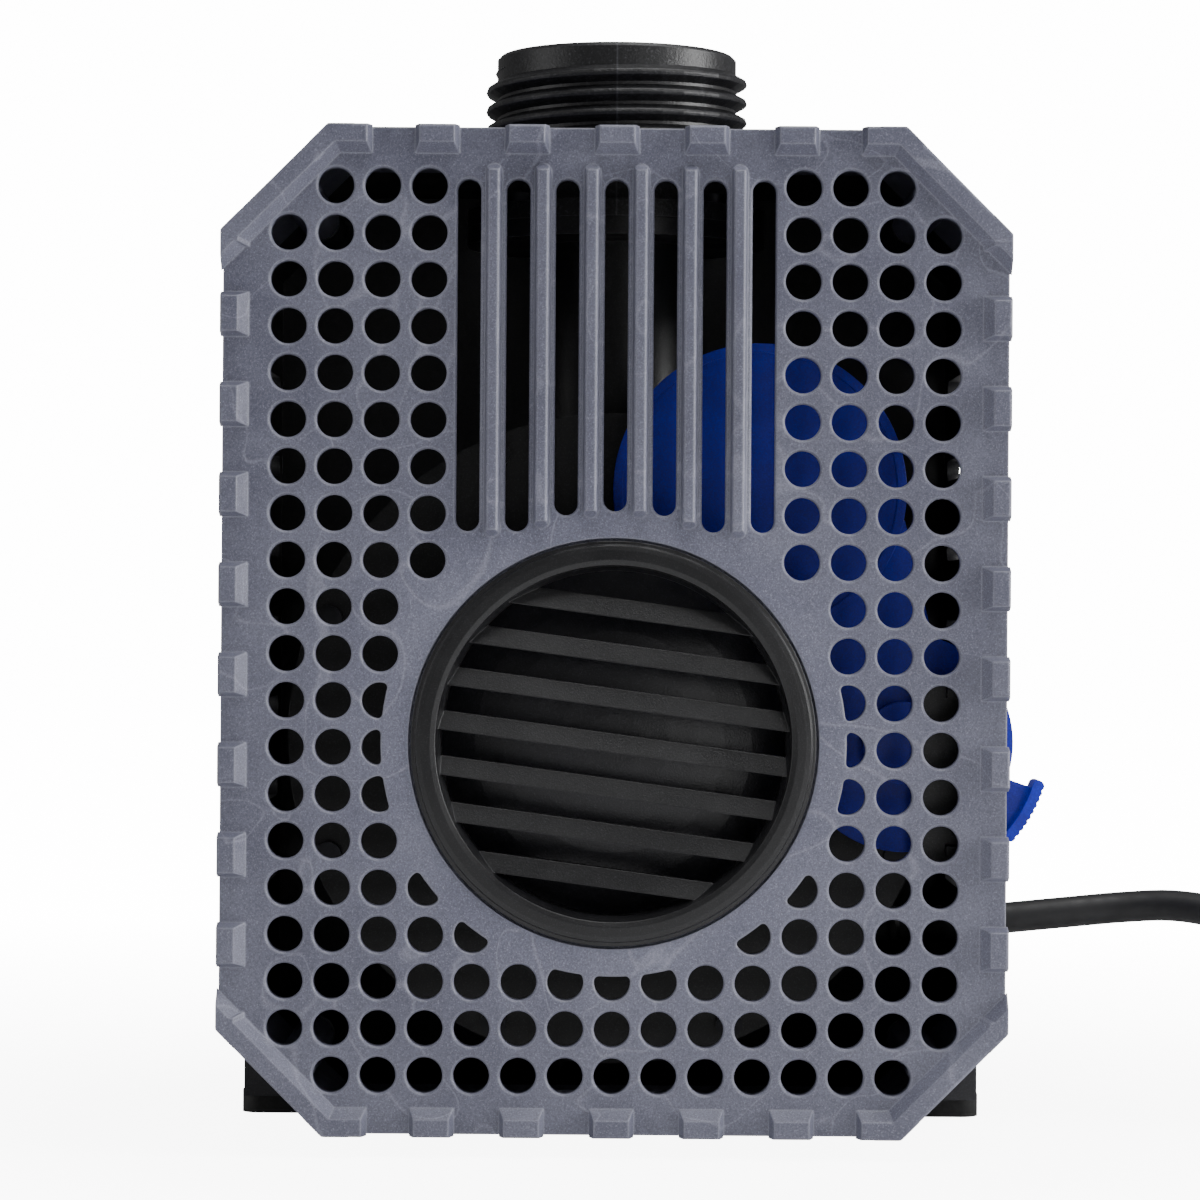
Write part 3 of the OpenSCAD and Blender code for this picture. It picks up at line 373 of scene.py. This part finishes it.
def coilPoint(turned):
    s = cordShape
    pitch = s["diameter"]
    column, row = s["columns"] - 1.0, 0.0
    for k in range(s["rows"]):
        inward = k % 2 == 0
        last = s["topTurns"] if k == s["rows"] - 1 else s["columns"] - 1
        for n in range(1, last + 1):
            step = 1 - cos(quarterTurn(turned, 360 * (s["columns"] * k + n) - s["shiftOver"] * k))
            column += -step if inward else step
        if k < s["rows"] - 1:
            row += sin(quarterTurn(turned, 360 * s["columns"] * (k + 1) - s["shiftOver"] * k))
    radius = s["innerRadius"] + pitch * column
    angle = radians(s["startAngle"] + turned)
    x, y = s["centre"]
    return Vector((x + radius * cos(angle), y + radius * sin(angle), s["lowestRow"] + pitch * row))


def cordLine():
    s = cordShape
    whole = s["columns"] * (s["rows"] - 1) + s["topTurns"]
    sweep = 360 * whole + s["endAngle"] - s["startAngle"]
    steps = round(sweep / 360 * s["stepsPerTurn"])
    coil = [coilPoint(sweep * i / steps) for i in range(1, steps)]
    return smoothRoute(s["leadIn"], s["stepsPerPoint"]) + coil + smoothRoute(s["tail"], s["stepsPerPoint"])


def makeCord():
    s = cordShape
    points = cordLine()
    data = bpy.data.curves.new("powerCord", "CURVE")
    data.dimensions = "3D"
    data.bevel_depth = s["diameter"] / 2 * mm
    data.bevel_resolution = 3
    data.use_fill_caps = True
    spline = data.splines.new("POLY")
    spline.points.add(len(points) - 1)
    for point, place in zip(spline.points, points):
        point.co = (*(place * mm), 1)
    spline.use_smooth = True
    cord = bpy.data.objects.new("powerCord", data)
    bpy.context.scene.collection.objects.link(cord)
    data.materials.append(finishes["cordRubber"])
    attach(cord, "pump")
    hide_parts("power_cord", "cord_coil", "cord_tail")
    length = sum((b - a).length for a, b in zip(points, points[1:]))
    print("cord made,", len(points), "points,", round(length), "mm")


makeCord()


# pale floor and room, and four soft boxes: tall at the right, high up, weak at the left, narrow in front

stageLook = {
    "floor": (0.88, 0.88, 0.89),
    "floorHalf": 3,                     # metres
    "floorRough": 0.7,
    "floorShine": 0.2,
    # metres from the pump, and how bright the floor is to the camera alone
    "glow": {"near": 0.12, "far": 0.55, "least": 8.0, "most": 15.0},
    "room": 0.18,                       # light that the room gives
    "backdrop": 15.0,                   # how bright the room is to the camera alone
    "aimHeight": 110,                   # millimetres, where every light points
    "lights": {
        "rightBox": {"place": (1200, -250, 320), "size": (0.50, 1.00), "power": 21},
        "highBox": {"place": (250, -250, 1200), "size": (0.9, 0.7), "power": 12},
        "sheenBox": {"place": (400, -900, 150), "size": (0.22, 0.60), "power": 0.9},
        "leftBox": {"place": (-1100, -400, 350), "size": (0.6, 0.9), "power": 3.0},
    },
}


def onlyForTheEye(tree, strength):
    seen = addNode(tree, "ShaderNodeLightPath").outputs["Is Camera Ray"]
    return mathOf(tree, "MULTIPLY", seen, strength)


def makeFloor():
    s = stageLook
    mesh = bpy.data.meshes.new("floor")
    form = bmesh.new()
    bmesh.ops.create_grid(form, x_segments=1, y_segments=1, size=s["floorHalf"])
    form.to_mesh(mesh)
    form.free()
    floor = bpy.data.objects.new("floor", mesh)
    bpy.context.scene.collection.objects.link(floor)
    material, tree, shader = newFinish("paleFloor")
    shader.inputs["Base Color"].default_value = (*s["floor"], 1)
    shader.inputs["Roughness"].default_value = s["floorRough"]
    shader.inputs["Specular IOR Level"].default_value = s["floorShine"]
    away = vectorOf(tree, "LENGTH", objectPlace(tree), None, "Value")
    glow = rangeOf(tree, away, s["glow"]["near"], s["glow"]["far"], s["glow"]["least"], s["glow"]["most"])
    shader.inputs["Emission Color"].default_value = (1, 1, 1, 1)
    tree.links.new(onlyForTheEye(tree, glow), shader.inputs["Emission Strength"])
    mesh.materials.append(material)


def makeRoom():
    s = stageLook
    world = bpy.data.worlds.new("paleRoom")
    world.use_nodes = True
    tree = world.node_tree
    background = tree.nodes["Background"]
    background.inputs["Color"].default_value = (1, 1, 1, 1)
    brightness = mathOf(tree, "ADD", onlyForTheEye(tree, s["backdrop"] - s["room"]), s["room"])
    tree.links.new(brightness, background.inputs["Strength"])
    bpy.context.scene.world = world


def makeLight(name):
    s = stageLook["lights"][name]
    data = bpy.data.lights.new(name, "AREA")
    data.shape = "RECTANGLE"
    data.size, data.size_y = s["size"]
    data.energy = s["power"]
    light = bpy.data.objects.new(name, data)
    light.location = Vector(s["place"]) * mm
    aim = Vector((0, 0, stageLook["aimHeight"] * mm)) - light.location
    light.rotation_euler = aim.to_track_quat("-Z", "Y").to_euler()
    bpy.context.scene.collection.objects.link(light)


makeFloor()
makeRoom()
for name in stageLook["lights"]:
    makeLight(name)
print("floor and lights placed")
